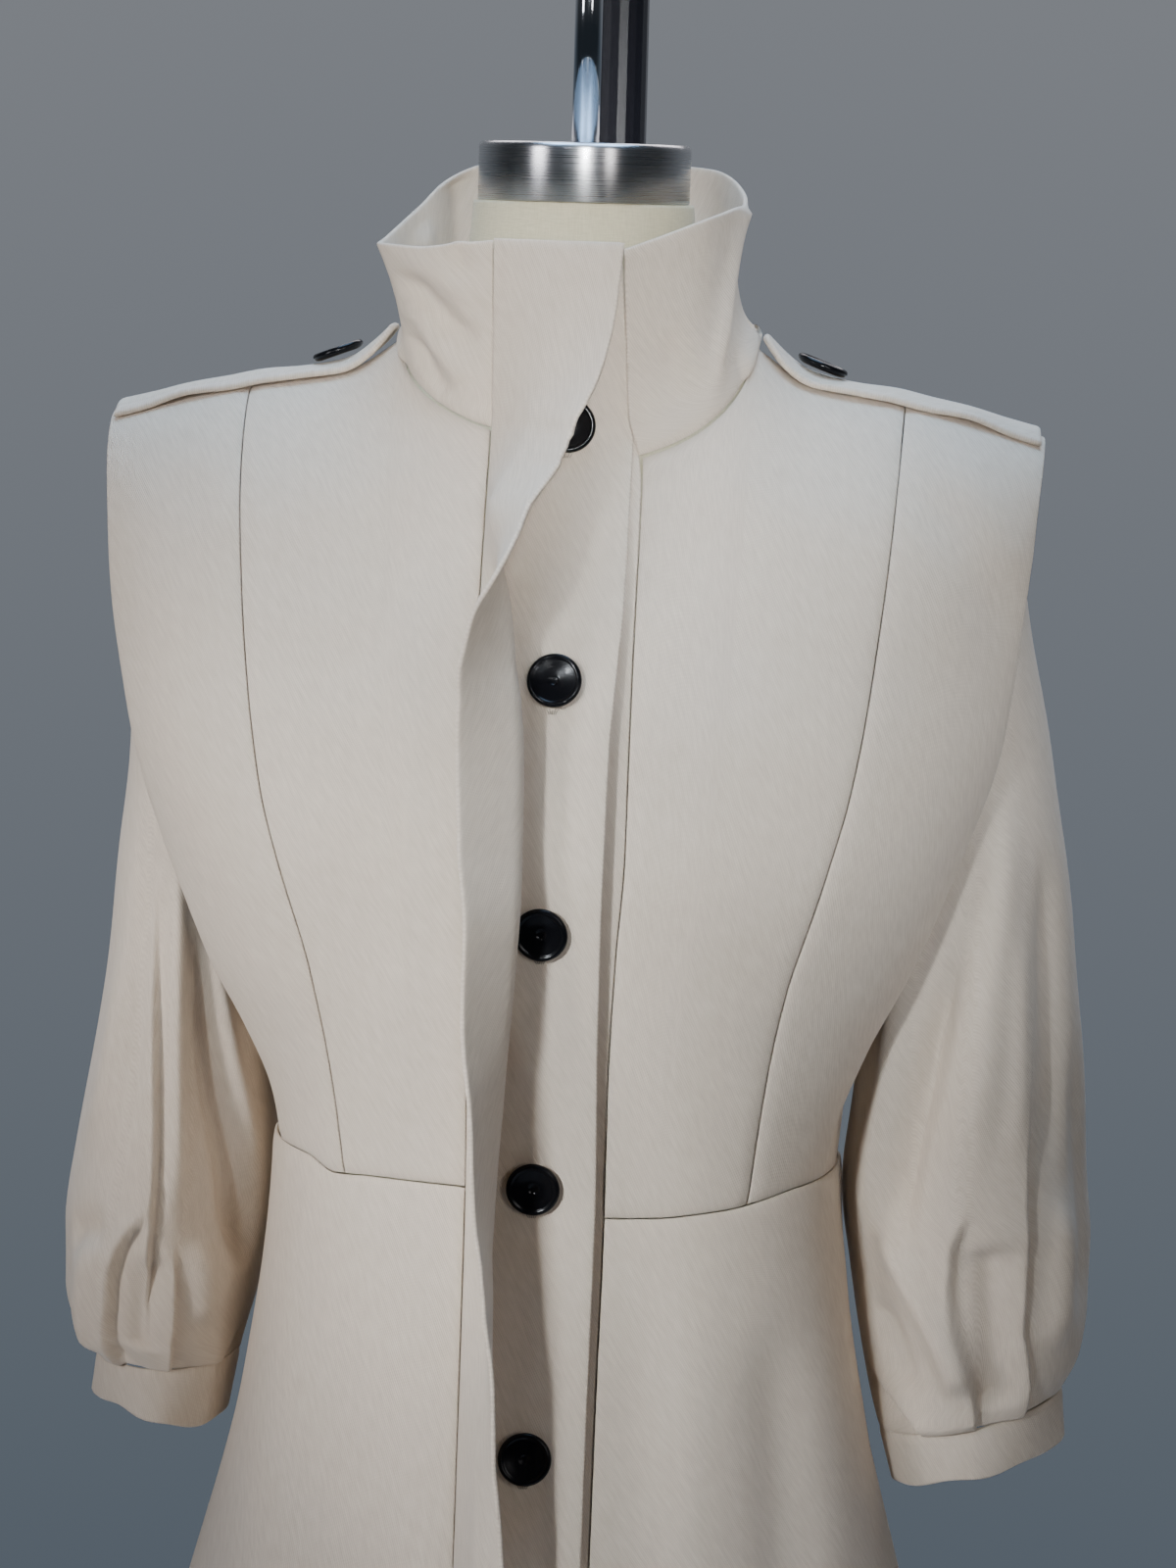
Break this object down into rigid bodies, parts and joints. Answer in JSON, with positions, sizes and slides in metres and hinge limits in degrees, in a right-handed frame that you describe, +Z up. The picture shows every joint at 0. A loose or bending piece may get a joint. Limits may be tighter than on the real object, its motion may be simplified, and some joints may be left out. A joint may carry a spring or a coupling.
{
  "type": "short fly-front trench coat without a belt, on a limbless dress form with stand",
  "caption": "Short flared coat with stand collar, wing flanges over puff sleeves and open concealed fly, worn by a limbless dress form hung from a floor stand.",
  "frame": {"origin": "on the floor, at the centre of the base plate's underside, under the dress form's axis", "axes": "+Z up, the coat's front faces -Y, the wearer's left is at +X"},
  "size_m": [0.52, 0.66, 1.722],
  "materials": {
    "twill": "fine cream twill with a soft sheen",
    "button": "polished black",
    "linen": "plain undyed linen",
    "cap_steel": "turned and brushed",
    "rod_chrome": "bright chrome",
    "stand_enamel": "gloss black enamel"
  },
  "bodies": {
    "root": {"front_centre_right": "twill", "front_centre_left": "twill", "front_side_right": "twill", "front_side_left": "twill", "back_centre": "twill", "back_side_right": "twill", "back_side_left": "twill", "side_panel_right": "twill", "side_panel_left": "twill", "skirt_front_right": "twill", "skirt_front_left": "twill", "skirt_back": "twill", "collar": "twill", "fly_flap": "twill", "button_strip": "twill", "left_placket": "twill", "sleeve_right": "twill", "sleeve_left": "twill", "cuff_right": "twill", "cuff_left": "twill", "epaulette_right": "twill", "epaulette_left": "twill", "button_1": "button", "button_2": "button", "button_3": "button", "button_4": "button", "button_5": "button", "button_6": "button", "button_7": "button", "epaulette_button_right": "button", "epaulette_button_left": "button", "form_torso": "linen", "neck_cap": "cap_steel", "hanging_rod": "rod_chrome", "stand_arm": "stand_enamel", "stand_post": "stand_enamel", "stand_base": "stand_enamel"}
  },
  "joints": []
}
